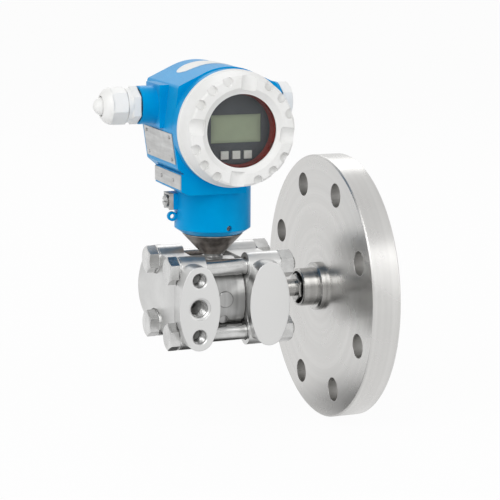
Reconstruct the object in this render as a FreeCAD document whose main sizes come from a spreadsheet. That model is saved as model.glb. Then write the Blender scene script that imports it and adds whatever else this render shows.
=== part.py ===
import FreeCAD, Part
import Sketcher
import math
import os

# Differential pressure transmitter with a flange-mounted diaphragm seal.
# X runs along the process axis and points into the process, -Y is the display side, +Z is up.
# The origin is the centre of the bolt circle, on the face that the flange bolts pass through.
# All lengths are in millimetres and all angles in degrees.

SIZES = {
    # process flange, DN80 PN40, with a flush diaphragm in its raised face
    "flange_od": 200.0,
    "flange_thk": 22.0,
    "flange_bevel": 1.0,
    "face_od": 138.0,
    "face_height": 2.0,
    "bolt_circle": 160.0,
    "bolt_holes": 8,
    "bolt_hole_d": 18.0,
    "membrane_od": 90.0,
    "membrane_thk": 0.5,
    "membrane_seat": 1.5,
    "membrane_waves": 6,
    "membrane_rise": 0.45,
    "oil_bore": 4.0,
    # weld hub, open sleeve and the tube that carries the fill fluid to the cell
    "hub_od": 36.5,
    "hub_len": 5.0,
    "hub_bevel": 1.5,
    "sleeve_od": 28.6,
    "sleeve_wall": 1.9,
    "sleeve_len": 12.0,
    "sleeve_floor": 3.0,
    "nipple_od": 13.0,
    "nipple_flats": 19.0,
    "nipple_hex_len": 9.0,
    "nipple_hex_out": 2.5,
    # measuring cell
    "cell_x": -107.5,
    "cell_width": 33.0,
    "cell_od": 56.0,
    "cell_bevel": 1.0,
    "isolator_od": 34.0,
    "isolator_thk": 0.5,
    "sensor_od": 18.0,
    "sensor_width": 10.0,
    "fill_plug_d": 12.0,
    "fill_plug_out": 1.0,
    "fill_plug_deep": 2.6,
    "fill_plug_z": 1.0,
    "test_hole_d": 6.5,
    "test_hole_z": -14.5,
    "test_hole_deep": 7.0,
    "cell_channel_d": 3.0,
    "stem_d": 12.8,
    "stem_foot_d": 15.6,
    "stem_foot_z": 29.3,
    "stem_top": 36.0,
    # side flanges
    "low_side_width": 19.0,
    "high_side_width": 24.7,
    "core_half": 29.5,
    "bolt_reach": 24.5,
    "lug_r": 10.0,
    "clamp_hole_d": 13.0,
    "flare_start": 14.0,
    "flare_inset": 3.5,
    "flare_tuck": 0.3,
    "seat_d": 22.0,
    "seat_deep": 8.0,
    "chamber_d": 34.0,
    "chamber_deep": 2.0,
    "seal_in": 38.0,
    "seal_out": 43.0,
    "seal_deep": 2.0,
    # port face: two end arcs joined by two long side arcs
    "port_spacing": 54.0,
    "port_reach": 48.7,
    "port_end_r": 10.5,
    "port_end_z": 20.25,
    "port_half_width": 15.5,
    "port_bore": 12.5,
    "port_mouth": 14.6,
    "port_ring": 16.4,
    "port_ring_deep": 0.6,
    "port_deep": 15.0,
    "adapter_spacing": 41.3,
    "adapter_bore": 9.9,
    "adapter_mouth": 11.6,
    "channel_d": 5.0,
    # M12 bolts through both side flanges
    "rod_d": 12.0,
    "bolt_flats": 18.0,
    "bolt_head": 7.5,
    "washer_od": 20.0,
    "washer_thk": 1.2,
    "nut_height": 10.6,
    "rod_past_nut": 2.5,
    "rod_bevel": 1.0,
    # vent valve in the rear of the low side flange
    "vent_flats": 17.0,
    "vent_hex_len": 7.5,
    "vent_stub_d": 11.0,
    "vent_stub_len": 4.5,
    "vent_channel_d": 3.0,
    "vent_screw_d": 6.0,
    "vent_screw_flats": 10.0,
    "vent_screw_head": 5.0,
    "vent_screw_gap": 1.0,
    # cone between the stem and the housing, with the spigot that the housing turns on
    "cone_foot_d": 17.0,
    "cone_foot_z": 31.4,
    "cone_top_d": 44.6,
    "swivel_gap": 0.3,
    "spigot_d": 34.0,
    "spigot_len": 14.0,
    "turn_clearance": 0.08,
    "lock_groove": 3.0,
    "lock_groove_deep": 1.4,
    "wire_bore": 11.0,
    # housing shell
    "barrel_z": 128.5,
    "crown_r": 43.0,
    "roof_slope": 25.0,
    "shoulder_x": 37.5,
    "side_x": 41.5,
    "side_z": -3.0,
    "low_x": 38.0,
    "low_z": -29.0,
    "belly_x": 27.0,
    "belly_z": -38.5,
    "shell_front": 33.0,
    "shell_rear": 38.0,
    "shell_round": 2.5,
    "front_collar_d": 84.0,
    "front_collar_end": 41.8,
    "rear_collar_d": 80.0,
    "rear_collar_end": 41.0,
    "front_bore_d": 72.0,
    "front_bore_deep": 27.0,
    "rear_bore_d": 66.0,
    "partition": 6.0,
    "front_thread_d": 77.0,
    "rear_thread_d": 70.0,
    "thread_len": 10.0,
    "neck_d": 56.4,
    "neck_foot_z": 47.0,
    "neck_bevel_h": 4.0,
    "neck_bevel_w": 5.8,
    "boss_d": 27.8,
    "boss_y": 4.0,
    "boss_z": 13.8,
    "gland_boss_reach": 56.0,
    "plug_boss_reach": 51.5,
    "boss_root_w": 31.0,
    "boss_root_x": 44.5,
    "entry_bore_d": 18.8,
    "ledge_x": 35.5,
    "ledge_right": 14.0,
    "ledge_top": -33.0,
    "ledge_low": -45.6,
    "ledge_foot": -48.6,
    "ledge_foot_x": 30.0,
    "ledge_rear": 26.0,
    "eyelet_x": 31.6,
    "eyelet_z": -68.2,
    "eyelet_d": 7.0,
    "eyelet_hole": 3.5,
    "eyelet_thk": 3.0,
    "lock_z": -75.1,
    "lock_turn": 6.0,
    "lock_screw_d": 4.0,
    "lock_screw_len": 9.6,
    "lock_socket_d": 2.0,
    "lock_socket_deep": 2.0,
    "lock_tip_len": 1.8,
    "lock_tip_step": 0.6,
    # earth terminal on the neck
    "earth_y": 3.0,
    "earth_z": -57.0,
    "earth_pad_x": 31.5,
    "earth_pad_w": 13.0,
    "earth_pad_h": 12.0,
    "earth_clamp_thk": 3.2,
    "earth_lip": 1.4,
    "earth_screw_d": 4.0,
    "earth_screw_deep": 5.5,
    "earth_slot": 1.2,
    "earth_head_d": 9.2,
    "earth_head_thk": 3.4,
    # plates and label
    "plate_thk": 0.7,
    "type_plate_front": -30.0,
    "type_plate_rear": 34.0,
    "type_plate_top": -4.0,
    "type_plate_low": -26.0,
    "tag_plate_front": -32.4,
    "tag_plate_rear": 25.6,
    "tag_plate_top": -33.6,
    "tag_plate_low": -44.2,
    "rivet_d": 2.6,
    "rivet_head": 0.5,
    "tag_rivet_inset": 16.0,
    "type_rivet_inset": 6.0,
    "type_rivet_edge": 3.0,
    "label_thk": 0.35,
    "label_half_len": 24.5,
    "label_half_w": 11.5,
    "label_y": 7.5,
    # front cover, read from the barrel centre towards the viewer
    "cover_gap": 0.6,
    "cover_od": 84.4,
    "cover_rim_len": 3.0,
    "cover_skirt_d": 83.0,
    "cover_crest_d": 77.4,
    "cover_front": 63.7,
    "cover_crest_round": 1.2,
    "cover_face_in": 61.0,
    "cover_lip_d": 54.2,
    "cover_face_dish": 2.6,
    "window_d": 52.1,
    "lip_thk": 1.6,
    "glass_d": 57.0,
    "glass_thk": 3.0,
    "seal_ring_len": 6.0,
    "seal_ring_in": 51.4,
    "cover_spigot_in": 70.0,
    "cover_spigot_end": 33.6,
    "thread_clearance": 0.1,
    "oring_d": 1.6,
    "cover_clock": 7.0,
    "grip_width": 11.6,
    "grip_deep": 3.5,
    "grip_start_d": 57.4,
    "notch_r": 3.5,
    "notch_place": 36.8,
    "notch_deep": 3.2,
    "notch_pitch": 20.0,
    # rear cover
    "rear_cover_d": 78.0,
    "rear_cover_len": 11.0,
    "rear_cover_thk": 3.5,
    "rear_grip_deep": 1.6,
    "rear_spigot_len": 7.0,
    "rear_spigot_wall": 3.0,
    # display module and the electronics behind it
    "display_face": 48.0,
    "display_d": 65.0,
    "display_thk": 10.0,
    "panel_width": 45.2,
    "panel_half_h": 24.5,
    "panel_rise": 0.6,
    "panel_corner": 2.2,
    "lcd_width": 37.8,
    "lcd_height": 20.0,
    "lcd_z": 0.4,
    "lcd_sunk": 0.8,
    "lcd_thk": 3.0,
    "key_size": 5.8,
    "key_pitch": 8.8,
    "key_z": -18.2,
    "key_out": 1.1,
    "key_len": 6.0,
    "key_gap": 0.1,
    "key_travel": 0.8,
    "board_thk": 1.6,
    "board_d": 60.0,
    "board_post_d": 6.0,
    "insert_d": 69.0,
    "insert_gap": 1.2,
    # rear terminals
    "terminal_w": 40.0,
    "terminal_h": 20.0,
    "terminal_deep": 12.0,
    "terminal_z": -14.0,
    "terminal_pitch": 12.0,
    "terminal_screw_d": 6.0,
    "terminal_screw_out": 2.0,
    "terminal_slot": 1.0,
    # cable gland and blind plug
    "gland_seal_thk": 1.0,
    "gland_seal_d": 24.0,
    "gland_flats": 24.0,
    "gland_hex_len": 5.6,
    "gland_neck_d": 24.6,
    "gland_neck_len": 3.4,
    "gland_thread_d": 20.0,
    "gland_thread_len": 8.5,
    "gland_shank_len": 12.0,
    "gland_bore": 13.0,
    "gland_seat_d": 16.0,
    "gland_seat_deep": 6.0,
    "insert_lip": 1.7,
    "nut_hex_len": 11.7,
    "nut_len": 17.8,
    "nut_dome_len": 8.8,
    "nut_dome_r": 9.8,
    "nut_clock": 16.0,
    "nut_mouth_d": 14.8,
    "plug_head_d": 12.6,
    "plug_out": 5.6,
    "plug_shank_d": 8.0,
    "blind_head_len": 8.0,
    "blind_flats": 24.0,
}


class Size:
    """A number that keeps the sheet formula it comes from."""

    def __init__(self, value, text):
        self.value = value
        self.text = text

    def join(self, other, sign, value):
        return Size(value, f"({self.text} {sign} {other.text})")

    def __add__(self, other):
        other = size(other)
        return self.join(other, "+", self.value + other.value)

    def __sub__(self, other):
        other = size(other)
        return self.join(other, "-", self.value - other.value)

    def __mul__(self, other):
        other = size(other)
        return self.join(other, "*", self.value * other.value)

    def __truediv__(self, other):
        other = size(other)
        return self.join(other, "/", self.value / other.value)

    def __radd__(self, other):
        return size(other) + self

    def __rsub__(self, other):
        return size(other) - self

    def __rmul__(self, other):
        return size(other) * self

    def __rtruediv__(self, other):
        return size(other) / self

    def __neg__(self):
        return Size(-self.value, f"(0 - {self.text})")


def size(number):
    return number if isinstance(number, Size) else Size(float(number), repr(float(number)))


def cosine(angle):
    angle = size(angle)
    return Size(math.cos(math.radians(angle.value)), f"cos({angle.text} * 1 deg)")


def sine(angle):
    angle = size(angle)
    return Size(math.sin(math.radians(angle.value)), f"sin({angle.text} * 1 deg)")


def root(number):
    return Size(math.sqrt(number.value), f"sqrt({number.text})")


doc = FreeCAD.newDocument("pressure_transmitter")
sheet = doc.addObject("Spreadsheet::Sheet", "sizes")


class Sheet:
    """The sheet's named cells, read as attributes."""


s = Sheet()
for row, (alias, number) in enumerate(SIZES.items(), start=1):
    sheet.set(f"A{row}", alias)
    sheet.set(f"B{row}", str(number))
    sheet.setAlias(f"B{row}", alias)
    setattr(s, alias, Size(float(number), f"sizes.{alias}"))
doc.recompute()

parts = []      # the sub-parts that are written out
volumes = []    # (feature, volume before it, whether it cuts)


# ---- helpers ------------------------------------------------------------------------------

def bind(item, path, number):
    number = size(number)
    item.setExpression(path, number.text)


def place(item, x=0, y=0, z=0):
    for axis, number in (("x", x), ("y", y), ("z", z)):
        bind(item, f"Placement.Base.{axis}", number)


def keep(item, name):
    """Name a finished sub-part, so that it is checked and written out."""
    item.Label = name
    parts.append(item)
    return item


def newBody(name, x=0, y=0, z=0, kept=True):
    body = doc.addObject("PartDesign::Body", name)
    body.AllowCompound = True
    place(body, x, y, z)
    return keep(body, name) if kept else body


def origin(body, role):
    for feature in body.Origin.OriginFeatures:
        if feature.Role == role:
            return feature


NORMALS = {"XY": (2, 1), "XZ": (1, -1), "YZ": (0, 1)}    # axis and sign of each plane's normal
BLANK = 0.575    # radius of the turned blank of a hexagon, as a share of its width across the flats


def newSketch(body, plane, at=0, across=(0, 0), turned=None, swing=None):
    """A sketch on one of the body's planes, moved along its normal and across it."""
    sketch = body.newObject("Sketcher::SketchObject", body.Name + "_sketch")
    sketch.AttachmentSupport = [(origin(body, plane + "_Plane"), "")]
    sketch.MapMode = "FlatFace"
    sign = NORMALS[plane][1]
    bind(sketch, "AttachmentOffset.Base.x", across[0])
    bind(sketch, "AttachmentOffset.Base.y", across[1])
    bind(sketch, "AttachmentOffset.Base.z", size(at) * sign)
    if swing is not None:      # a turn about the sketch's own upright axis
        sketch.AttachmentOffset = FreeCAD.Placement(FreeCAD.Vector(),
                                                    FreeCAD.Rotation(FreeCAD.Vector(0, 1, 0), 1))
        bind(sketch, "AttachmentOffset.Rotation.Angle", swing)
    if turned is not None:
        bind(sketch, "AttachmentOffset.Rotation.Angle", turned)
    return sketch


def pin(sketch, edge, end, point):
    """Hold one end of an edge at its distances from the sketch's origin."""
    for kind, axis, distance in (("DistanceX", -2, size(point[0])), ("DistanceY", -1, size(point[1]))):
        if abs(distance.value) < 1e-9:
            sketch.addConstraint(Sketcher.Constraint("PointOnObject", edge, end, axis))
        else:
            rule = Sketcher.Constraint(kind, -1, 1, edge, end, distance.value)
            index = sketch.addConstraint(rule)
            bind(sketch, f"Constraints[{index}]", distance)


def vector(point):
    return FreeCAD.Vector(size(point[0]).value, size(point[1]).value, 0)


def arcBetween(start, end, radius):
    """The short arc from start to end: anticlockwise for a radius above zero, else clockwise."""
    middle = (start + end) / 2
    along = (end - start).normalize()
    left = FreeCAD.Vector(-along.y, along.x, 0)
    rise = math.sqrt(max(radius * radius - (end - middle).Length ** 2, 0))
    centre = middle + left * (rise if radius > 0 else -rise)
    first, last = (start, end) if radius > 0 else (end, start)
    angles = [math.atan2(p.y - centre.y, p.x - centre.x) for p in (first, last)]
    circle = Part.Circle(centre, FreeCAD.Vector(0, 0, 1), abs(radius))
    return Part.ArcOfCircle(circle, angles[0], angles[1])


def loop(points, radii=None):
    """A closed outline through points; radii gives the edges that are arcs, by their index."""
    radii = radii or {}

    def draw(sketch):
        ends = []
        for index, point in enumerate(points):
            start, end = vector(point), vector(points[(index + 1) % len(points)])
            if index in radii:
                radius = size(radii[index])
                edge = sketch.addGeometry(arcBetween(start, end, radius.value))
                rule = sketch.addConstraint(Sketcher.Constraint("Radius", edge, abs(radius.value)))
                bind(sketch, f"Constraints[{rule}]", radius if radius.value > 0 else -radius)
                ends.append((edge, 1, 2) if radius.value > 0 else (edge, 2, 1))
            else:
                ends.append((sketch.addGeometry(Part.LineSegment(start, end)), 1, 2))
        for index, (edge, start, end) in enumerate(ends):
            after, afterStart, _ = ends[(index + 1) % len(ends)]
            sketch.addConstraint(Sketcher.Constraint("Coincident", edge, end, after, afterStart))
            pin(sketch, edge, start, points[index])
    return draw


def disc(diameter, centre=(0, 0)):
    diameter = size(diameter)

    def draw(sketch):
        circle = Part.Circle(vector(centre), FreeCAD.Vector(0, 0, 1), diameter.value / 2)
        edge = sketch.addGeometry(circle)
        rule = sketch.addConstraint(Sketcher.Constraint("Diameter", edge, diameter.value))
        bind(sketch, f"Constraints[{rule}]", diameter)
        if abs(size(centre[0]).value) + abs(size(centre[1]).value) < 1e-9:
            sketch.addConstraint(Sketcher.Constraint("Coincident", edge, 3, -1, 1))
        else:
            pin(sketch, edge, 3, centre)
    return draw


def rectangle(x0, x1, y0, y1):
    return loop([(x0, y0), (x1, y0), (x1, y1), (x0, y1)])


def hexagon(flats, centre=(0, 0)):
    """A hexagon with two corners above and below its centre."""
    corner = size(flats) / math.sqrt(3)
    turns = [90 + 60 * k for k in range(6)]
    return loop([(size(centre[0]) + corner * cosine(a), size(centre[1]) + corner * sine(a))
                 for a in turns])


def solidVolume(body):
    return body.Shape.Volume if body.Tip else 0.0


def finish(body, feature):
    body.Tip = feature
    doc.recompute()
    return feature


def extrude(body, plane, at, to, *loops, cut=False, across=(0, 0), turned=None):
    """Pad or pocket loops drawn across a plane, from one station along its normal to another."""
    at, to = size(at), size(to)
    sketch = newSketch(body, plane, at, across, turned)
    for draw in loops:
        draw(sketch)
    before = solidVolume(body)
    feature = body.newObject("PartDesign::Pocket" if cut else "PartDesign::Pad", body.Name + "_step")
    feature.Profile = sketch
    sign = NORMALS[plane][1]
    forwards = (to.value - at.value) * sign > 0
    bind(feature, "Length", to - at if to.value > at.value else at - to)
    feature.Reversed = forwards if cut else not forwards
    finish(body, feature)
    volumes.append((feature, before, body.Shape.Volume, cut))
    return feature


def turn(body, axis, points, cut=False, centre=(0, 0), radii=None, swing=None):
    """Revolve a profile of (station along the axis, radius) about an axis of the body, or beside it."""
    a, b = centre
    if axis == "X":
        plane, at, across = "XZ", a, (0, b)
    elif axis == "Y":
        plane, at, across = "YZ", a, (0, b)
    else:
        plane, at, across = "XZ", b, (a, 0)
    sketch = newSketch(body, plane, at, across, swing=swing)
    if axis == "Z":
        points = [(radius, station) for station, radius in points]
    loop(points, radii)(sketch)
    before = solidVolume(body)
    kind = "PartDesign::Groove" if cut else "PartDesign::Revolution"
    feature = body.newObject(kind, body.Name + "_turned")
    feature.Profile = sketch
    feature.ReferenceAxis = (sketch, ["V_Axis" if axis == "Z" else "H_Axis"])
    feature.Angle = 360
    finish(body, feature)
    volumes.append((feature, before, body.Shape.Volume, cut))
    return feature


def around(body, features, axis, count):
    """Repeat features evenly around an axis of the body."""
    pattern = body.newObject("PartDesign::PolarPattern", body.Name + "_around")
    pattern.Originals = features
    pattern.Axis = (origin(body, axis + "_Axis"), [""])
    pattern.Angle = 360
    bind(pattern, "Occurrences", count)
    return finish(body, pattern)


def mirrored(body, features, plane):
    pattern = body.newObject("PartDesign::Mirrored", body.Name + "_mirrored")
    pattern.Originals = features
    pattern.MirrorPlane = (origin(body, plane + "_Plane"), [""])
    return finish(body, pattern)


def rounded(body, radius, wanted, kind="PartDesign::Fillet"):
    """Fillet or chamfer the edges of the body for which wanted(edge) is true."""
    base = body.Tip
    names = [f"Edge{i}" for i, edge in enumerate(base.Shape.Edges, start=1) if wanted(edge)]
    feature = body.newObject(kind, body.Name + "_edge")
    feature.Base = (base, names)
    bind(feature, "Radius" if kind.endswith("Fillet") else "Size", radius)
    return finish(body, feature)


def hexFlats(body, axisPlane, at, to, flats, centre=(0, 0), turned=None):
    """Cut the six flats on a turned blank."""
    return extrude(body, axisPlane, at, to, disc(size(flats) * 1.6), hexagon(flats),
                   cut=True, across=centre, turned=turned)


def fourfold(body, name):
    """The body and its mirror images across the XZ and XY planes, as one group of solids."""
    group = body
    for step, normal in enumerate(((0, 1, 0), (0, 0, 1))):
        image = doc.addObject("Part::Mirroring", f"{name}_image{step}")
        image.Source = group
        image.Normal = FreeCAD.Vector(*normal)
        pair = doc.addObject("Part::Compound", f"{name}_pair{step}")
        pair.Links = [group, image]
        group = pair
    doc.recompute()
    return keep(group, name)


def loft(body, first, last):
    feature = body.newObject("PartDesign::AdditiveLoft", body.Name + "_loft")
    feature.Profile = first
    feature.Sections = [last]
    feature.Ruled = True
    return finish(body, feature)


# ---- process flange and the seal neck -----------------------------------------------------

flangeR = s.flange_od / 2
seatX = s.face_height - s.membrane_seat
holePlace = (s.bolt_circle / 2 * cosine(180 / s.bolt_holes), s.bolt_circle / 2 * sine(180 / s.bolt_holes))

flange = newBody("process_flange")
turn(flange, "X", [
    (-s.flange_thk, s.nipple_od / 2), (-s.flange_thk, flangeR - s.flange_bevel),
    (s.flange_bevel - s.flange_thk, flangeR), (-s.flange_bevel, flangeR),
    (0, flangeR - s.flange_bevel), (0, s.face_od / 2), (s.face_height, s.face_od / 2),
    (s.face_height, s.membrane_od / 2), (seatX, s.membrane_od / 2), (seatX, s.oil_bore / 2),
    (-s.flange_thk / 2, s.oil_bore / 2), (-s.flange_thk / 2, s.nipple_od / 2)])
boltHole = extrude(flange, "YZ", -s.flange_thk, 0, disc(s.bolt_hole_d, holePlace), cut=True)
around(flange, [boltHole], "X", s.bolt_holes)


def membraneSolid():
    """A thin disc whose face runs in even arcs up and down, with a flat rim and a flat middle."""
    rim = s.membrane_od.value / 2
    rise, thick = s.membrane_rise.value, s.membrane_thk.value
    count = 2 * round(s.membrane_waves.value)
    flat = rim / (count + 4)
    crossings = [flat * (2 + k) for k in range(count + 1)]
    faces = []
    for x in (0, thick):
        edges = [Part.LineSegment(FreeCAD.Vector(x, 0, 0), FreeCAD.Vector(x, 0, crossings[0]))]
        for k in range(count):
            lift = rise if k % 2 == 0 else -rise
            edges.append(Part.Arc(FreeCAD.Vector(x, 0, crossings[k]),
                                  FreeCAD.Vector(x + lift, 0, crossings[k] + flat / 2),
                                  FreeCAD.Vector(x, 0, crossings[k + 1])))
        edges.append(Part.LineSegment(FreeCAD.Vector(x, 0, crossings[-1]), FreeCAD.Vector(x, 0, rim)))
        faces.append([edge.toShape() for edge in edges])
    ends = [Part.makeLine((0, 0, r), (thick, 0, r)) for r in (0, rim)]
    profile = Part.Face(Part.Wire(Part.__sortEdges__(faces[0] + faces[1] + ends)))
    return profile.revolve(FreeCAD.Vector(0, 0, 0), FreeCAD.Vector(1, 0, 0), 360)


membrane = doc.addObject("Part::Feature", "seal_membrane")
membrane.Shape = membraneSolid()
place(membrane, seatX + s.membrane_rise)
keep(membrane, "seal_membrane")

hubX = -s.flange_thk - s.hub_len
sleeveEnd = hubX - s.sleeve_len
hub = newBody("seal_hub")
turn(hub, "X", [
    (-s.flange_thk, s.nipple_od / 2), (-s.flange_thk, s.hub_od / 2), (hubX + s.hub_bevel, s.hub_od / 2),
    (hubX, s.hub_od / 2 - s.hub_bevel), (hubX, s.sleeve_od / 2), (sleeveEnd + 0.8, s.sleeve_od / 2),
    (sleeveEnd, s.sleeve_od / 2 - 0.6), (sleeveEnd, s.sleeve_od / 2 - s.sleeve_wall),
    (hubX - s.sleeve_floor, s.sleeve_od / 2 - s.sleeve_wall), (hubX - s.sleeve_floor, s.nipple_od / 2)])

highOuter = s.cell_x + s.cell_width / 2 + s.high_side_width
hexLeft = sleeveEnd - s.nipple_hex_out
hexRight = hexLeft + s.nipple_hex_len
hexCorner = s.nipple_flats / math.sqrt(3)
nipple = newBody("seal_nipple")
turn(nipple, "X", [
    (highOuter, s.oil_bore / 2), (highOuter, s.nipple_od / 2), (hexLeft, s.nipple_od / 2),
    (hexLeft, s.nipple_flats / 2), (hexLeft + 1, hexCorner), (hexRight, hexCorner),
    (hexRight, s.nipple_od / 2), (-s.flange_thk / 2, s.nipple_od / 2), (-s.flange_thk / 2, s.oil_bore / 2)])
hexFlats(nipple, "YZ", hexLeft, hexRight, s.nipple_flats)

# ---- measuring cell -----------------------------------------------------------------------

cellR = s.cell_od / 2
cellHalf = s.cell_width / 2
isolatorR = s.isolator_od / 2
cellChannelR = s.cell_channel_d / 2

cell = newBody("cell_body", s.cell_x)
turn(cell, "X", [
    (s.isolator_thk - cellHalf, 0), (s.isolator_thk - cellHalf, isolatorR), (-cellHalf, isolatorR),
    (-cellHalf, cellR - s.cell_bevel), (s.cell_bevel - cellHalf, cellR),
    (cellHalf - s.cell_bevel, cellR), (cellHalf, cellR - s.cell_bevel), (cellHalf, isolatorR),
    (cellHalf - s.isolator_thk, isolatorR), (cellHalf - s.isolator_thk, 0)])
extrude(cell, "XY", cellR - 3, s.stem_foot_z, disc(s.stem_foot_d))
extrude(cell, "XY", cellR - 3, s.stem_top, disc(s.stem_d))
turn(cell, "X", [
    (s.isolator_thk - cellHalf, 0), (s.isolator_thk - cellHalf, cellChannelR),
    (-s.sensor_width / 2, cellChannelR), (-s.sensor_width / 2, s.sensor_od / 2),
    (s.sensor_width / 2, s.sensor_od / 2), (s.sensor_width / 2, cellChannelR),
    (cellHalf - s.isolator_thk, cellChannelR), (cellHalf - s.isolator_thk, 0)], cut=True)
extrude(cell, "XZ", s.fill_plug_deep - cellR, -cellR - 1, disc(s.fill_plug_d, (0, s.fill_plug_z)),
        cut=True)
extrude(cell, "XZ", s.test_hole_deep - cellR, -cellR, disc(s.test_hole_d, (0, s.test_hole_z)), cut=True)

plug = newBody("cell_fill_plug", s.cell_x, 0, s.fill_plug_z)
plugR = s.fill_plug_d / 2
turn(plug, "Y", [(s.fill_plug_deep - cellR, 0), (s.fill_plug_deep - cellR, plugR),
                 (0.5 - cellR - s.fill_plug_out, plugR), (-cellR - s.fill_plug_out, plugR - 0.5),
                 (-cellR - s.fill_plug_out, 0)])

sensor = newBody("sensor_element", s.cell_x)
turn(sensor, "X", [(-s.sensor_width / 2, 0), (-s.sensor_width / 2, s.sensor_od / 2),
                   (s.sensor_width / 2, s.sensor_od / 2), (s.sensor_width / 2, 0)])

for name, start in (("low_isolator", -cellHalf), ("high_isolator", cellHalf - s.isolator_thk)):
    isolator = newBody(name, s.cell_x)
    turn(isolator, "X", [(start, 0), (start, isolatorR), (start + s.isolator_thk, isolatorR),
                         (start + s.isolator_thk, 0)])

# ---- side flanges -------------------------------------------------------------------------

portX = s.port_spacing / 2
# A side arc touches both end arcs from inside, which fixes its radius.
halfWidth, endZ, endR = s.port_half_width, s.port_end_z, s.port_end_r
sideArc = (halfWidth * halfWidth + endZ * endZ - endR * endR) / (2 * (halfWidth - endR))
tangentX = sideArc * (sideArc - halfWidth) / (sideArc - endR) - (sideArc - halfWidth)
tangentZ = sideArc * endZ / (sideArc - endR)


def drillPort(body, x, face, bottom, side):
    """A tapered pipe thread's bore in a port face at y = face, with its ring and mouth."""
    def y(depth):
        return face - depth if side > 0 else face + depth
    turn(body, "Y", [
        (y(-0.5), 0), (y(-0.5), s.port_ring / 2), (y(s.port_ring_deep), s.port_ring / 2),
        (y(s.port_ring_deep), s.port_mouth / 2), (y(s.port_ring_deep + 1), s.port_bore / 2),
        (y(s.port_deep), s.port_bore / 2), (y(s.port_deep + 3), s.channel_d / 2),
        (bottom, s.channel_d / 2), (bottom, 0)], cut=True, centre=(x, 0))


def sideFlange(name, side, width, ported):
    inner, outer = side * s.cell_width / 2, side * (s.cell_width / 2 + width)
    x = side * portX
    body = newBody(name, s.cell_x)
    extrude(body, "YZ", inner, outer, rectangle(-s.core_half, s.core_half, -s.core_half, s.core_half))
    lug = extrude(body, "YZ", inner, outer, disc(s.lug_r * 2, (s.bolt_reach, s.bolt_reach)))
    around(body, [lug], "X", 4)
    # The root stays a little inside the core, so that the two solids don't share a face.
    root1, root2 = sorted((inner + side * s.flare_inset, outer - side * s.flare_tuck),
                          key=lambda end: end.value)
    first = newSketch(body, "XZ", -s.flare_start)
    loop([(root2, -s.core_half), (root2, s.core_half),
          (root1, s.core_half), (root1, -s.core_half)])(first)
    last = newSketch(body, "XZ", -s.port_reach)
    loop([(x + tangentX, -tangentZ), (x + tangentX, tangentZ),
          (x - tangentX, tangentZ), (x - tangentX, -tangentZ)],
         {0: sideArc, 1: s.port_end_r, 2: sideArc, 3: s.port_end_r})(last)
    before = solidVolume(body)
    front = loft(body, first, last)
    volumes.append((front, before, body.Shape.Volume, False))
    mirrored(body, [front], "XZ")
    boltAt = (s.bolt_reach, s.bolt_reach)
    hole = extrude(body, "YZ", inner - side, outer + side, disc(s.clamp_hole_d, boltAt), cut=True)
    around(body, [hole], "X", 4)
    extrude(body, "YZ", inner, inner + side * s.chamber_deep, disc(s.chamber_d), cut=True)
    extrude(body, "YZ", inner, inner + side * s.seal_deep, disc(s.seal_in), disc(s.seal_out), cut=True)
    if ported:
        # The flare stands proud of the thinner flange at its bolts, so their seats are spot-faced.
        seat = extrude(body, "YZ", outer, outer + side * s.seat_deep, disc(s.seat_d, boltAt), cut=True)
        around(body, [seat], "X", 4)
        across = s.chamber_d / 2 - s.channel_d
        drillPort(body, x, -s.port_reach, -across, -1)
        drillPort(body, x, s.port_reach, across, 1)
        for y in (-across, across):
            extrude(body, "YZ", inner, x, disc(s.channel_d, (y, 0)), cut=True)
        for z in (-s.adapter_spacing / 2, s.adapter_spacing / 2):
            turn(body, "Y", [
                (-s.port_reach - 0.5, 0), (-s.port_reach - 0.5, s.adapter_mouth / 2),
                (-s.port_reach, s.adapter_mouth / 2), (1 - s.port_reach, s.adapter_bore / 2),
                (s.port_deep - s.port_reach, s.adapter_bore / 2), (s.port_deep + 3 - s.port_reach, 0)],
                cut=True, centre=(x, z))
    else:
        turn(body, "X", [(outer, 0), (outer, s.oil_bore / 2), (inner, s.oil_bore / 2), (inner, 0)],
             cut=True)
    return body


sideFlange("low_side_flange", -1, s.low_side_width, True)
sideFlange("high_side_flange", 1, s.high_side_width, False)

for name, side in (("low_flange_seal", -1), ("high_flange_seal", 1)):
    ring = newBody(name, s.cell_x)
    ends = sorted((side * cellHalf, side * (cellHalf + s.seal_deep)), key=lambda end: end.value)
    turn(ring, "X", [(ends[0], s.seal_in / 2), (ends[0], s.seal_out / 2),
                     (ends[1], s.seal_out / 2), (ends[1], s.seal_in / 2)])

# ---- bolts through the side flanges -------------------------------------------------------

rodR = s.rod_d / 2
boltCorner = s.bolt_flats / math.sqrt(3)
boltFlat = s.bolt_flats / 2
lowSeat = -(cellHalf + s.low_side_width)
highSeat = cellHalf + s.high_side_width
headSeat = lowSeat - s.washer_thk
headEnd = headSeat - s.bolt_head
nutEnd = highSeat + s.nut_height
rodEnd = nutEnd + s.rod_past_nut
boltCentre = (s.bolt_reach, s.bolt_reach)

bolt = newBody("bolt", s.cell_x, kept=False)
turn(bolt, "X", [
    (headEnd, 0), (headEnd, boltFlat - 0.4), (headEnd + 0.9, boltCorner), (headSeat, boltCorner),
    (headSeat, rodR), (rodEnd - s.rod_bevel, rodR), (rodEnd, rodR - s.rod_bevel), (rodEnd, 0)],
    centre=boltCentre)
hexFlats(bolt, "YZ", headEnd, headSeat, s.bolt_flats, boltCentre)
fourfold(bolt, "flange_bolts")

washer = newBody("washer", s.cell_x, kept=False)
turn(washer, "X", [(headSeat, rodR), (headSeat, s.washer_od / 2 - 0.3), (headSeat + 0.3, s.washer_od / 2),
                   (lowSeat, s.washer_od / 2), (lowSeat, rodR)], centre=boltCentre)
fourfold(washer, "bolt_washers")

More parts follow.
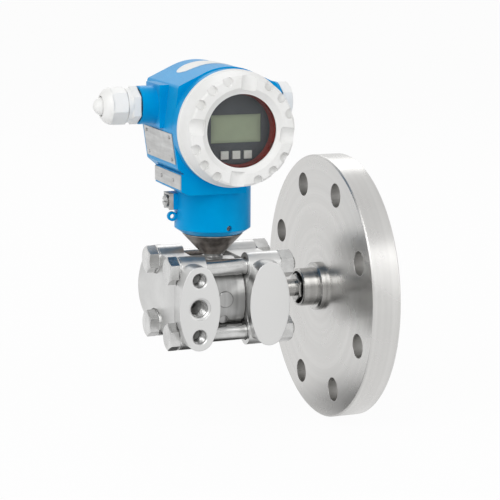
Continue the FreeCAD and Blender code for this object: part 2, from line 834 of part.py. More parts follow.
nut = newBody("nut", s.cell_x, kept=False)
turn(nut, "X", [
    (highSeat, rodR), (highSeat, boltFlat), (highSeat + 0.8, boltCorner), (nutEnd - 0.8, boltCorner),
    (nutEnd, boltFlat), (nutEnd, rodR)], centre=boltCentre)
hexFlats(nut, "YZ", highSeat, nutEnd, s.bolt_flats, boltCentre)
fourfold(nut, "bolt_nuts")

# ---- vent valve behind the low side flange ------------------------------------------------

ventCorner = s.vent_flats / math.sqrt(3)
stubStart = s.port_reach + s.vent_hex_len
stubEnd = stubStart + s.vent_stub_len
ventBoreR = s.vent_screw_d / 2 + s.turn_clearance
ventChannelR = s.vent_channel_d / 2
screwTip = s.port_reach - 2

vent = newBody("vent_valve", s.cell_x - portX)
turn(vent, "Y", [
    (s.port_reach - s.port_deep + 1, ventChannelR),
    (s.port_reach - s.port_deep + 1, s.port_bore / 2 - 0.6),
    (s.port_reach - s.port_deep + 2, s.port_bore / 2), (s.port_reach - 1.2, s.port_bore / 2),
    (s.port_reach, s.port_bore / 2), (s.port_reach, ventCorner),
    (stubStart - 1, ventCorner), (stubStart, s.vent_flats / 2), (stubStart, s.vent_stub_d / 2),
    (stubEnd, s.vent_stub_d / 2), (stubEnd, ventBoreR), (screwTip - 0.5, ventBoreR),
    (screwTip - 0.5, ventChannelR)])
hexFlats(vent, "XZ", s.port_reach, stubStart, s.vent_flats)

screwSeat = stubEnd + s.vent_screw_gap
screwCorner = s.vent_screw_flats / math.sqrt(3)
screwEnd = screwSeat + s.vent_screw_head
ventScrew = newBody("vent_screw", s.cell_x - portX)
turn(ventScrew, "Y", [
    (screwTip, 0), (screwTip, ventChannelR), (screwTip + 1.5, s.vent_screw_d / 2),
    (screwSeat, s.vent_screw_d / 2), (screwSeat, screwCorner), (screwEnd - 0.7, screwCorner),
    (screwEnd, s.vent_screw_flats / 2), (screwEnd, 0)])
hexFlats(ventScrew, "XZ", screwSeat, screwEnd, s.vent_screw_flats)

# ---- cone and swivel spigot ---------------------------------------------------------------

coneTop = s.neck_foot_z - s.swivel_gap
spigotR = s.spigot_d / 2
spigotTop = coneTop + s.spigot_len
lockZ = s.barrel_z + s.lock_z
groove1, groove2 = lockZ - s.lock_groove / 2, lockZ + s.lock_groove / 2
cone = newBody("neck_cone", s.cell_x)
turn(cone, "Z", [
    (s.cone_foot_z, s.stem_d / 2), (s.cone_foot_z, s.cone_foot_d / 2), (coneTop - 0.6, s.cone_top_d / 2),
    (coneTop, s.cone_top_d / 2), (coneTop, spigotR), (groove1, spigotR),
    (groove1, spigotR - s.lock_groove_deep), (groove2, spigotR - s.lock_groove_deep),
    (groove2, spigotR), (spigotTop, spigotR), (spigotTop, s.wire_bore / 2),
    (s.stem_top, s.wire_bore / 2), (s.stem_top, s.stem_d / 2)])

# ---- housing shell ------------------------------------------------------------------------
# Everything from here on hangs on the barrel's centre: x across, y along the barrel, z up.

def housingBody(name, kept=True):
    return newBody(name, s.cell_x, 0, s.barrel_z, kept)


slope = s.roof_slope
eaveX, eaveZ = s.crown_r * sine(slope), s.crown_r * cosine(slope)
shoulderZ = eaveZ - (s.shoulder_x - eaveX) * sine(slope) / cosine(slope)
neckFoot = s.neck_foot_z - s.barrel_z
neckR = s.neck_d / 2
frontFloor = s.front_bore_deep - s.front_collar_end
rearStart = frontFloor + s.partition

shell = housingBody("housing_shell")
corners = [(s.shoulder_x, shoulderZ), (s.side_x, s.side_z), (s.low_x, s.low_z), (s.belly_x, s.belly_z)]
section = ([(eaveX, eaveZ), (-eaveX, eaveZ)] + [(-x, z) for x, z in corners]
           + [(x, z) for x, z in reversed(corners)])
extrude(shell, "XZ", s.shell_rear, -s.shell_front, loop(section, {0: s.crown_r}))


def alongBarrel(edge):
    """The long edges of the shell at its shoulders, sides and belly."""
    ends = [vertex.Point for vertex in edge.Vertexes]
    if len(ends) < 2 or abs(ends[0].y - ends[1].y) < 1:
        return False
    return any(abs(abs(ends[0].x) - x.value) < 0.01 and abs(ends[0].z - z.value) < 0.01
               for x, z in corners)


rounded(shell, s.shell_round, alongBarrel)
extrude(shell, "XZ", -s.shell_front, -s.front_collar_end, disc(s.front_collar_d))
extrude(shell, "XZ", s.shell_rear, s.rear_collar_end, disc(s.rear_collar_d))
turn(shell, "Z", [(neckFoot, 0), (neckFoot, neckR - s.neck_bevel_w), (neckFoot + s.neck_bevel_h, neckR),
                  (s.belly_z + 4, neckR), (s.belly_z + 4, 0)])
extrude(shell, "XZ", s.ledge_rear, -s.shell_front, loop([
    (-s.ledge_x, s.ledge_top), (-s.ledge_x, s.ledge_low), (-s.ledge_foot_x, s.ledge_foot),
    (s.ledge_right, s.ledge_foot), (s.ledge_right, s.ledge_top)]))
entry = (s.boss_y, s.boss_z)
bossEnds = (-s.gland_boss_reach, s.plug_boss_reach)
for side, bossEnd in zip((-1, 1), bossEnds):
    inside = side * (s.shoulder_x - 4)
    half = s.boss_root_w / 2
    extrude(shell, "YZ", inside, side * s.boss_root_x, rectangle(
        s.boss_y - half, s.boss_y + half, s.boss_z - half, s.boss_z + half))
    extrude(shell, "YZ", inside, bossEnd, disc(s.boss_d, entry))
extrude(shell, "YZ", -neckR + 4, -s.earth_pad_x, rectangle(
    s.earth_y - s.earth_pad_w / 2, s.earth_y + s.earth_pad_w / 2,
    s.earth_z - s.earth_pad_h / 2, s.earth_z + s.earth_pad_h / 2))
extrude(shell, "XZ", -s.eyelet_thk / 2, s.eyelet_thk / 2, disc(s.eyelet_d, (-s.eyelet_x, s.eyelet_z)))

threadR = s.front_thread_d / 2
rearThreadR = s.rear_thread_d / 2
turn(shell, "Y", [
    (-s.front_collar_end - 1, 0), (-s.front_collar_end - 1, threadR),
    (s.thread_len - s.front_collar_end, threadR), (s.thread_len - s.front_collar_end, s.front_bore_d / 2),
    (frontFloor, s.front_bore_d / 2), (frontFloor, 0)], cut=True)
turn(shell, "Y", [
    (s.rear_collar_end + 1, 0), (s.rear_collar_end + 1, rearThreadR),
    (s.rear_collar_end - s.thread_len, rearThreadR), (s.rear_collar_end - s.thread_len, s.rear_bore_d / 2),
    (rearStart, s.rear_bore_d / 2), (rearStart, 0)], cut=True)
for side, bossEnd in zip((-1, 1), bossEnds):
    extrude(shell, "YZ", bossEnd + side, side * (s.rear_bore_d / 2 - 11), disc(s.entry_bore_d, entry),
            cut=True)
turnR = spigotR + s.turn_clearance
spigotRoom = spigotTop - s.barrel_z + 1.5
turn(shell, "Z", [(neckFoot - 1, 0), (neckFoot - 1, turnR), (spigotRoom, turnR),
                  (spigotRoom, s.wire_bore / 2), (-s.rear_bore_d / 2 + 3, s.wire_bore / 2),
                  (-s.rear_bore_d / 2 + 3, 0)], cut=True)
lockHoleR = s.lock_screw_d / 2 + s.turn_clearance
turn(shell, "Y", [(-neckR - 1, 0), (-neckR - 1, lockHoleR), (-spigotR + 1, lockHoleR), (-spigotR + 1, 0)],
     cut=True, centre=(0, s.lock_z), swing=s.lock_turn)
extrude(shell, "YZ", -s.earth_pad_x - 1, s.earth_screw_deep + 0.5 - neckR,
        disc(s.earth_screw_d + 2 * s.turn_clearance, (s.earth_y, s.earth_z)), cut=True)
extrude(shell, "XZ", -s.eyelet_thk / 2 - 1, s.eyelet_thk / 2 + 1,
        disc(s.eyelet_hole, (-s.eyelet_x, s.eyelet_z)), cut=True)

# The grub screw stands in the groove of the spigot, so that the housing turns but can't lift off.
lockTip = -(spigotR - s.lock_groove_deep + 0.3)
lockEnd = lockTip - s.lock_screw_len
lockTipR = s.lock_screw_d / 2 - s.lock_tip_step
lockScrew = housingBody("lock_screw")
turn(lockScrew, "Y", [
    (lockEnd, s.lock_socket_d / 2), (lockEnd, s.lock_screw_d / 2 - 0.3),
    (lockEnd + 0.3, s.lock_screw_d / 2), (lockTip - s.lock_tip_len, s.lock_screw_d / 2),
    (lockTip - s.lock_tip_len + 0.4, lockTipR), (lockTip, lockTipR), (lockTip, 0),
    (lockEnd + s.lock_socket_deep, 0), (lockEnd + s.lock_socket_deep, s.lock_socket_d / 2)],
    centre=(0, s.lock_z), swing=s.lock_turn)

# ---- earth terminal, plates and label -----------------------------------------------------

clampX = s.earth_pad_x + s.earth_clamp_thk
earthScrewR = s.earth_screw_d / 2
clamp = housingBody("earth_clamp")
wide, high = s.earth_pad_w / 2, s.earth_pad_h / 2
extrude(clamp, "YZ", -s.earth_pad_x, -clampX, rectangle(
    s.earth_y - wide, s.earth_y + wide, s.earth_z - high, s.earth_z + high))
extrude(clamp, "YZ", -clampX - 1, -clampX + s.earth_lip, rectangle(
    s.earth_y - wide + s.earth_lip, s.earth_y + wide - s.earth_lip,
    s.earth_z - high - 1, s.earth_z + high - s.earth_lip), cut=True)
extrude(clamp, "YZ", -clampX - 1, -s.earth_pad_x + 1,
        disc(s.earth_screw_d + 2 * s.turn_clearance, (s.earth_y, s.earth_z)), cut=True)

headX = clampX - s.earth_lip + 0.1
earthTip = s.earth_screw_deep - neckR
earthScrew = housingBody("earth_screw")
turn(earthScrew, "X", [
    (earthTip, 0), (earthTip, earthScrewR), (-headX, earthScrewR), (-headX, s.earth_head_d / 2),
    (-headX - s.earth_head_thk + 1, s.earth_head_d / 2),
    (-headX - s.earth_head_thk, s.earth_head_d / 2 - 1), (-headX - s.earth_head_thk, 0)],
    centre=(s.earth_y, s.earth_z))
extrude(earthScrew, "YZ", -headX - s.earth_head_thk, 1.6 - headX - s.earth_head_thk,
        rectangle(-s.earth_head_d, s.earth_head_d, -s.earth_slot / 2, s.earth_slot / 2),
        cut=True, across=(s.earth_y, s.earth_z))


def wallX(z):
    """How far out the lower side wall stands at height z."""
    return s.side_x - (s.side_z - z) * (s.side_x - s.low_x) / (s.side_z - s.low_z)


typePlate = housingBody("type_plate")
high, low = s.type_plate_top, s.type_plate_low
extrude(typePlate, "XZ", s.type_plate_rear, s.type_plate_front, loop([
    (-wallX(high), high), (-wallX(high) - s.plate_thk, high),
    (-wallX(low) - s.plate_thk, low), (-wallX(low), low)]))

tagPlate = housingBody("tag_plate")
extrude(tagPlate, "XZ", s.tag_plate_rear, s.tag_plate_front, rectangle(
    -s.ledge_x - s.plate_thk, -s.ledge_x, s.tag_plate_low, s.tag_plate_top))

rivets = housingBody("plate_rivets")
rivetX = s.ledge_x + s.plate_thk
tagMiddle = (s.tag_plate_top + s.tag_plate_low) / 2
for y in (s.tag_plate_rear - s.tag_rivet_inset, s.tag_plate_front + s.tag_rivet_inset):
    extrude(rivets, "YZ", -s.ledge_x - s.plate_thk, -rivetX - s.rivet_head, disc(s.rivet_d, (y, tagMiddle)))
for y in (s.type_plate_rear - s.type_rivet_inset, s.type_plate_front + s.type_rivet_inset):
    for z in (s.type_plate_low + s.type_rivet_edge, s.type_plate_top - s.type_rivet_edge):
        edge = wallX(z) + s.plate_thk
        extrude(rivets, "YZ", -edge + 0.2, -edge - s.rivet_head, disc(s.rivet_d, (y, z)))

# The label is a strip of the roof's outline with round ends.
labelBand = housingBody("label_band", kept=False)
outR = s.crown_r + s.label_thk
band = [(-s.shoulder_x, shoulderZ), (-eaveX, eaveZ), (eaveX, eaveZ), (s.shoulder_x, shoulderZ)]
liftX, liftZ = s.label_thk * sine(slope), s.label_thk * cosine(slope)
extrude(labelBand, "XZ", s.label_y + s.label_half_w, s.label_y - s.label_half_w, loop(
    band + [(s.shoulder_x + liftX, shoulderZ + liftZ), (outR * sine(slope), outR * cosine(slope)),
            (-outR * sine(slope), outR * cosine(slope)), (-s.shoulder_x - liftX, shoulderZ + liftZ)],
    {1: -s.crown_r, 5: outR}))
labelShape = housingBody("label_outline", kept=False)
end1 = s.label_half_w - s.label_half_len
end2 = s.label_half_len - s.label_half_w
extrude(labelShape, "XY", 0, s.crown_r + 2, loop([
    (end1, s.label_y - s.label_half_w), (end2, s.label_y - s.label_half_w),
    (end2 + s.label_half_w, s.label_y), (end2, s.label_y + s.label_half_w),
    (end1, s.label_y + s.label_half_w), (end1 - s.label_half_w, s.label_y)],
    {1: s.label_half_w, 2: s.label_half_w, 4: s.label_half_w, 5: s.label_half_w}))
label = doc.addObject("Part::MultiCommon", "top_label")
label.Shapes = [labelBand, labelShape]
doc.recompute()
keep(label, "top_label")

# ---- front cover --------------------------------------------------------------------------
# Stations are distances along -y, so the profile is written as seen from the front.

def coverProfile(points):
    return [(-station, radius) for station, radius in points]


coverBack = s.front_collar_end + s.cover_gap
rimEnd = coverBack + s.cover_rim_len
skirtR, crestR = s.cover_skirt_d / 2, s.cover_crest_d / 2
lipFace = s.cover_front - s.cover_face_dish
glassFace = lipFace - s.lip_thk
glassBack = glassFace - s.glass_thk
ringBack = glassBack - s.seal_ring_len
glassR = s.glass_d / 2
spigotOut = threadR - s.thread_clearance
spigotIn = s.cover_spigot_in / 2
oringR = s.oring_d / 2
cover = housingBody("front_cover")
cover.Placement = FreeCAD.Placement(cover.Placement.Base, FreeCAD.Rotation(FreeCAD.Vector(0, 1, 0), 1))
bind(cover, "Placement.Rotation.Angle", s.cover_clock)
turn(cover, "Y", coverProfile([
    (s.cover_spigot_end, spigotIn), (s.cover_spigot_end, spigotOut - 0.6),
    (s.cover_spigot_end + 0.6, spigotOut), (coverBack - s.oring_d - 0.8, spigotOut),
    (coverBack - s.oring_d - 0.8, spigotOut - s.oring_d), (coverBack, spigotOut - s.oring_d),
    (coverBack, s.cover_od / 2), (rimEnd, s.cover_od / 2), (rimEnd + 0.8, skirtR),
    (rimEnd + 2.5, skirtR), (s.cover_front - s.cover_crest_round, crestR + 0.4),
    (s.cover_front, crestR - s.cover_crest_round), (s.cover_front, s.cover_face_in / 2),
    (lipFace, s.cover_lip_d / 2), (lipFace - 0.4, s.window_d / 2), (glassFace, s.window_d / 2),
    (glassFace, glassR),
    (ringBack, glassR), (ringBack - 3, spigotIn)]))
gripR = (s.grip_width * s.grip_width / 4 + s.grip_deep * s.grip_deep) / (2 * s.grip_deep)
grip = extrude(cover, "YZ", s.grip_start_d / 2, s.cover_od / 2 + 2,
               disc(2 * gripR, (s.grip_deep - s.cover_front - gripR, 0)), cut=True)
around(cover, [grip], "Y", 4)
for step in (-1, 0, 1):
    angle = 45 + step * s.notch_pitch
    notch = extrude(cover, "XZ", -s.cover_front - 1, -s.cover_front + s.notch_deep, disc(
        s.notch_r * 2, (s.notch_place * cosine(angle), s.notch_place * sine(angle))), cut=True)
    around(cover, [notch], "Y", 4)

glass = housingBody("window_glass")
turn(glass, "Y", coverProfile([(glassBack, 0), (glassBack, glassR), (glassFace, glassR), (glassFace, 0)]))

sealRing = housingBody("window_seal")
turn(sealRing, "Y", coverProfile([
    (ringBack, s.seal_ring_in / 2 - 0.8), (ringBack, glassR), (glassBack, glassR),
    (glassBack, s.seal_ring_in / 2)]))


def coverSeal(name, station, groove):
    """The ring in a cover's groove, with eight sides and a running gap to the cover."""
    ring = housingBody(name)
    middle = groove + oringR + s.turn_clearance
    across = oringR / cosine(22.5)
    turn(ring, "Y", [(station + across * sine(22.5 + 45 * k), middle + across * cosine(22.5 + 45 * k))
                     for k in range(8)])


coverSeal("front_cover_seal", oringR + 0.4 - coverBack, spigotOut - s.oring_d)

# ---- rear cover ---------------------------------------------------------------------------

rearBack = s.rear_collar_end + s.cover_gap
rearFace = s.rear_collar_end + s.rear_cover_len
rearOut = rearThreadR - s.thread_clearance
rearIn = rearOut - s.rear_spigot_wall
rearCoverR = s.rear_cover_d / 2
rearCover = housingBody("rear_cover")
turn(rearCover, "Y", [
    (rearBack - s.rear_spigot_len, rearIn), (rearBack - s.rear_spigot_len, rearOut - 0.6),
    (rearBack - s.rear_spigot_len + 0.6, rearOut), (rearBack - s.oring_d - 0.8, rearOut),
    (rearBack - s.oring_d - 0.8, rearOut - s.oring_d), (rearBack, rearOut - s.oring_d),
    (rearBack, rearCoverR), (rearFace - 3, rearCoverR - 0.5), (rearFace, rearCoverR - 3),
    (rearFace, 0), (rearFace - s.rear_cover_thk, 0), (rearFace - s.rear_cover_thk, rearIn)])
rearGrip = extrude(rearCover, "XZ", rearFace + 1, rearFace - s.rear_grip_deep, rectangle(
    rearIn - 4, rearCoverR + 2, -s.grip_width / 2, s.grip_width / 2), cut=True)
around(rearCover, [rearGrip], "Y", 4)
coverSeal("rear_cover_seal", rearBack - oringR - 0.4, rearOut - s.oring_d)

# ---- display ------------------------------------------------------------------------------

panelFace = s.display_face + s.panel_rise
displayBack = s.display_face - s.display_thk
lcdFace = panelFace - s.lcd_sunk
frame = housingBody("display_frame")
extrude(frame, "XZ", -displayBack, -s.display_face, disc(s.display_d))
halfX = [s.panel_width / 2, s.panel_width / 2 - s.panel_corner]
halfZ = [s.panel_half_h - s.panel_corner, s.panel_half_h]
extrude(frame, "XZ", -s.display_face, -panelFace, loop([
    (halfX[0], -halfZ[0]), (halfX[0], halfZ[0]), (halfX[1], halfZ[1]), (-halfX[1], halfZ[1]),
    (-halfX[0], halfZ[0]), (-halfX[0], -halfZ[0]), (-halfX[1], -halfZ[1]), (halfX[1], -halfZ[1])]))
lcdOutline = rectangle(-s.lcd_width / 2, s.lcd_width / 2,
                       s.lcd_z - s.lcd_height / 2, s.lcd_z + s.lcd_height / 2)
extrude(frame, "XZ", -panelFace - 1, -lcdFace + s.lcd_thk, lcdOutline, cut=True)
lcd = housingBody("lcd_panel")
extrude(lcd, "XZ", -lcdFace + s.lcd_thk, -lcdFace, lcdOutline)

keyFace = panelFace + s.key_out
for name, x in (("key_left", -s.key_pitch), ("key_middle", size(0)), ("key_right", s.key_pitch)):
    half = s.key_size / 2 + s.key_gap
    extrude(frame, "XZ", -panelFace - 1, -keyFace + s.key_len + s.key_travel + s.key_gap, rectangle(
        x - half, x + half, s.key_z - half, s.key_z + half), cut=True)
    half = s.key_size / 2
    key = housingBody(name)
    extrude(key, "XZ", -keyFace + s.key_len, -keyFace, rectangle(
        x - half, x + half, s.key_z - half, s.key_z + half))

board = housingBody("display_board")
extrude(board, "XZ", -displayBack + s.board_thk, -displayBack, disc(s.board_d))
insertFace = displayBack - s.board_thk - s.insert_gap
electronics = housingBody("electronics_insert")
extrude(electronics, "XZ", frontFloor, -insertFace, disc(s.insert_d))
for sideX in (-1, 1):
    for sideZ in (-1, 1):
        extrude(electronics, "XZ", -insertFace, -displayBack + s.board_thk, disc(
            s.board_post_d, (sideX * s.board_d / 4, sideZ * s.board_d / 4)))

# ---- terminals in the rear compartment ----------------------------------------------------

terminalFace = rearStart + s.terminal_deep
terminals = housingBody("terminal_block")
extrude(terminals, "XZ", rearStart, terminalFace, rectangle(
    -s.terminal_w / 2, s.terminal_w / 2,
    s.terminal_z - s.terminal_h / 2, s.terminal_z + s.terminal_h / 2))
terminalScrews = housingBody("terminal_screws")
for x in (-s.terminal_pitch, size(0), s.terminal_pitch):
    screwTop = terminalFace + s.terminal_screw_out
    extrude(terminalScrews, "XZ", terminalFace, screwTop, disc(s.terminal_screw_d, (x, s.terminal_z)))
    extrude(terminalScrews, "XZ", screwTop + 1, screwTop - s.terminal_slot, rectangle(
        x - s.terminal_screw_d / 2, x + s.terminal_screw_d / 2,
        s.terminal_z - s.terminal_slot / 2, s.terminal_z + s.terminal_slot / 2), cut=True)

# ---- cable gland and blind entry ----------------------------------------------------------

entryR = s.entry_bore_d / 2
washers = (bossEnds[0] - s.gland_seal_thk, bossEnds[1] + s.gland_seal_thk)
for name, start, end in zip(("gland_seal", "entry_plug_seal"), bossEnds, washers):
    washer = housingBody(name)
    extrude(washer, "YZ", start, end, disc(s.gland_seal_d, entry), disc(s.entry_bore_d, entry))

shankIn = s.gland_shank_len - s.gland_boss_reach
glandStart = s.gland_boss_reach + s.gland_seal_thk
hexEnd = glandStart + s.gland_hex_len
neckEnd = hexEnd + s.gland_neck_len
threadEnd = neckEnd + s.gland_thread_len
glandR = s.gland_thread_d / 2
glandCorner = s.gland_flats * BLANK
seatStart = threadEnd - s.gland_seat_deep
gland = housingBody("gland_body")
turn(gland, "X", [
    (shankIn, s.gland_bore / 2), (shankIn, entryR), (-glandStart, entryR),
    (-glandStart, glandCorner), (-hexEnd, glandCorner),
    (-hexEnd, s.gland_neck_d / 2), (-neckEnd, s.gland_neck_d / 2), (-neckEnd, glandR),
    (0.6 - threadEnd, glandR), (-threadEnd, glandR - 0.6), (-threadEnd, s.gland_seat_d / 2),
    (-seatStart, s.gland_seat_d / 2), (-seatStart, s.gland_bore / 2)], centre=entry)
hexFlats(gland, "YZ", -glandStart, -hexEnd, s.gland_flats, entry)

nutStart = neckEnd + 0.2
nutHexEnd = neckEnd + s.nut_hex_len
nutEnd = neckEnd + s.nut_len
mouthR = s.nut_mouth_d / 2
domeFall = s.nut_dome_r - root(s.nut_dome_r * s.nut_dome_r - s.nut_dome_len * s.nut_dome_len)
nutBore = glandR + s.thread_clearance
nut = housingBody("gland_nut")
turn(nut, "X", [
    (-nutStart, nutBore), (-nutStart, s.gland_flats / 2), (-nutStart - 0.8, glandCorner),
    (s.nut_dome_len - nutEnd, glandCorner), (-nutEnd, glandCorner - domeFall),
    (-nutEnd, mouthR), (-threadEnd - s.insert_lip - 1.6, mouthR),
    (-threadEnd - s.insert_lip, nutBore)], centre=entry, radii={3: s.nut_dome_r})
hexFlats(nut, "YZ", -nutStart, -nutHexEnd, s.gland_flats, entry, turned=-s.nut_clock)

lipR = mouthR + 1.6
insertR = mouthR - s.turn_clearance
insertEnd = nutEnd - 4
plugR = s.plug_shank_d / 2
insert = housingBody("gland_insert")
turn(insert, "X", [
    (-seatStart - 0.3, plugR), (-seatStart - 0.3, s.gland_seat_d / 2 - s.turn_clearance),
    (-threadEnd - 0.4, s.gland_seat_d / 2 - s.turn_clearance), (-threadEnd - 0.4, lipR),
    (-threadEnd - s.insert_lip + 0.2, lipR), (-threadEnd - s.insert_lip - 1.2, insertR),
    (-insertEnd, insertR), (-insertEnd, plugR)], centre=entry)
plug = housingBody("gland_plug")
domeR = s.plug_head_d / 2
plugEnd = nutEnd + s.plug_out
turn(plug, "X", [
    (-seatStart, 0), (-seatStart, plugR), (-insertEnd, plugR), (-insertEnd, domeR),
    (domeR - plugEnd, domeR), (-plugEnd, 0)], centre=entry, radii={4: domeR})

blindStart = washers[1]
blindEnd = blindStart + s.blind_head_len
blindCorner = s.blind_flats * BLANK
blind = housingBody("entry_plug")
turn(blind, "X", [
    (s.plug_boss_reach - s.gland_shank_len, 0), (s.plug_boss_reach - s.gland_shank_len, entryR),
    (blindStart, entryR), (blindStart, blindCorner), (blindEnd - 1, blindCorner),
    (blindEnd, s.blind_flats / 2), (blindEnd, 0)], centre=entry)
hexFlats(blind, "YZ", blindStart, blindEnd, s.blind_flats, entry)

# ---- checks and export --------------------------------------------------------------------

doc.recompute()
for item in doc.Objects:
    if {"Invalid", "Error"} & set(item.State):
        raise RuntimeError(f"{item.Label} did not build: {item.State}")
for feature, before, after, cuts in volumes:
    if (after >= before) if cuts else (after <= before):
        raise RuntimeError(f"{feature.Name} left the solid as it was")
for part in parts:
    if part.Shape.isNull() or not part.Shape.isValid():
        raise RuntimeError(f"{part.Label} is not a valid solid")

os.makedirs("parts", exist_ok=True)
for part in parts:
    part.Shape.exportStep(f"parts/{part.Label}.step")
print(len(parts), "sub-parts written")
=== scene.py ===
import math
import bpy
import numpy as np
from mathutils import Matrix, Vector


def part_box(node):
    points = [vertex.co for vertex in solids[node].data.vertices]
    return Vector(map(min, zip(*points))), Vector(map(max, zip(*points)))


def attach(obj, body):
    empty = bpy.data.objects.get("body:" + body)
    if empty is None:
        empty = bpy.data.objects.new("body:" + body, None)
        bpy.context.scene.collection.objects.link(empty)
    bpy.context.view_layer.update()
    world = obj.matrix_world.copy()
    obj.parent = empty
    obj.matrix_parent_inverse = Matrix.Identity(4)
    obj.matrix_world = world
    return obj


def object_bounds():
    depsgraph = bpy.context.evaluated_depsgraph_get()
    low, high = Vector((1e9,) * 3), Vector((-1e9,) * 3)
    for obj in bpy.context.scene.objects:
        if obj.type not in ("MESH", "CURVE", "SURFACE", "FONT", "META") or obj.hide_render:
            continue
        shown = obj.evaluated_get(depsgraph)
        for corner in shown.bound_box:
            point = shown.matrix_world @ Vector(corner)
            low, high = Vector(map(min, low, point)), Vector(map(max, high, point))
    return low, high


# Looks of a differential pressure transmitter. Lengths are in metres, in the frame of the solids:
# x along the process axis, -y on the display side, z up.

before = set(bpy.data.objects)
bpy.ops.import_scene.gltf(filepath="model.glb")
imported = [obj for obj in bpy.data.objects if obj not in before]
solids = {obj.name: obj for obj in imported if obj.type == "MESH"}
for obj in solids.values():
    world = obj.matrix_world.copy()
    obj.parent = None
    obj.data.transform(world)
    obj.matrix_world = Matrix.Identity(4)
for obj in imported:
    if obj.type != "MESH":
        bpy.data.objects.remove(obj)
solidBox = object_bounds()


def middle(name):
    low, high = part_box(name)
    return (low + high) / 2


cell = middle("sensor_element")     # centre of the measuring cell
print("frame loaded:", len(solids), "nodes")


class Wire:
    # One output of a node. An expression with wires adds its Math nodes.
    def __init__(self, shader, socket):
        self.shader = shader
        self.socket = socket

    def math(self, operation, *others):
        return self.shader.node("ShaderNodeMath", {"operation": operation}, [self, *others])

    def __add__(self, other):
        return self.math("ADD", other)

    def __mul__(self, other):
        return self.math("MULTIPLY", other)

    def __sub__(self, other):
        return self.math("SUBTRACT", other)

    def __rsub__(self, other):
        return self.shader.node("ShaderNodeMath", {"operation": "SUBTRACT"}, [other, self])

    def __gt__(self, other):
        return self.math("GREATER_THAN", other)

    def __lt__(self, other):
        return self.math("LESS_THAN", other)

    __radd__ = __add__
    __rmul__ = __mul__


class Shader:
    # The node tree of a material or a world, with one method for every kind of node.
    def __init__(self, name, store=bpy.data.materials):
        self.owner = store.new(name)
        self.owner.use_nodes = True
        self.tree = self.owner.node_tree
        self.tree.nodes.clear()

    def node(self, kind, settings=None, inputs=None, output=0):
        made = self.tree.nodes.new(kind)
        for name, value in (settings or {}).items():
            setattr(made, name, value)
        pairs = enumerate(inputs) if isinstance(inputs, list) else (inputs or {}).items()
        for key, value in pairs:
            if isinstance(value, Wire):
                self.tree.links.new(value.socket, made.inputs[key])
            elif value is not None:
                made.inputs[key].default_value = value
        return Wire(self, made.outputs[output]) if len(made.outputs) else None

    def several(self, kind, inputs, *outputs):
        # Several outputs of one node.
        made = self.node(kind, None, inputs, outputs[0]).socket.node
        return [Wire(self, made.outputs[key]) for key in outputs]

    def place(self, centre=(0, 0, 0)):
        # Object coordinates counted from a centre.
        raw = self.node("ShaderNodeTexCoord", output="Object")
        return self.node("ShaderNodeVectorMath", {"operation": "SUBTRACT"}, [raw, tuple(centre)])

    def split(self, vector):
        return self.several("ShaderNodeSeparateXYZ", [vector], 0, 1, 2)

    def distance(self, first, second):
        # From an axis, by the two coordinates across it.
        return (first * first + second * second).math("SQRT")

    def noise(self, vector, scale, detail=2, roughness=0.5, stretch=None):
        # Scale is in blobs per metre; a stretch below 1 draws them out along that axis.
        if stretch:
            vector = self.node(
                "ShaderNodeVectorMath", {"operation": "MULTIPLY"}, [vector, stretch])
        return self.node("ShaderNodeTexNoise", None, {
            "Vector": vector, "Scale": scale, "Detail": detail, "Roughness": roughness})

    def blend(self, factor, first, second):
        # A mix of two colours; the sockets 6 and 7 are the colour ones.
        return self.node("ShaderNodeMix", {"data_type": "RGBA", "clamp_factor": True},
                         {0: factor, 6: first, 7: second}, output=2)

    def range(self, value, low, high, newLow, newHigh):
        return self.node(
            "ShaderNodeMapRange", {"clamp": True}, [value, low, high, newLow, newHigh])

    def tone(self, value, look, low=0.35, high=0.65):
        # The look's two colours, mixed by where a noise stands between low and high.
        return self.blend(self.range(value, low, high, 0.0, 1.0), look["main"], look["shade"])

    def gloss(self, value, span, low=0.3, high=0.7):
        # A roughness that runs over the span with a noise.
        return self.range(value, low, high, *span)

    def relief(self, height, distance, strength, edge, samples=6):
        # A bump over edges that catch light as a small rounding of that radius would.
        rounded = self.node("ShaderNodeBevel", {"samples": samples}, {"Radius": edge})
        return self.node("ShaderNodeBump", None, {
            "Height": height, "Distance": distance, "Strength": strength, "Normal": rounded})

    def finish(self, **sockets):
        names = {"colour": "Base Color", "roughness": "Roughness", "metallic": "Metallic",
                 "coat": "Coat Weight", "coatRoughness": "Coat Roughness", "normal": "Normal",
                 "specular": "Specular IOR Level", "tint": "Specular Tint"}
        wire = self.node("ShaderNodeBsdfPrincipled", None, {
            names[key]: value for key, value in sockets.items()})
        self.node("ShaderNodeOutputMaterial", None, {"Surface": wire})
        return self.owner


def colour(red, green, blue):
    # A screen colour, 0 to 255, as the linear values that sockets take.
    parts = [value / 255 for value in (red, green, blue)]
    return (*[p / 12.92 if p <= 0.04045 else ((p + 0.055) / 1.055) ** 2.4 for p in parts], 1)


plainWhite = (1, 1, 1, 1)


def dress(material, *names):
    # One material over the whole of each named solid.
    for name in names:
        mesh = solids[name].data
        mesh.materials.clear()
        mesh.materials.append(material)
        mesh.polygons.foreach_set("material_index", np.zeros(len(mesh.polygons), dtype=np.int32))


# Powder coat. In all looks below roughness is a span, edge is the radius at which edges catch
# light, and the scales of patterns are counts per metre.

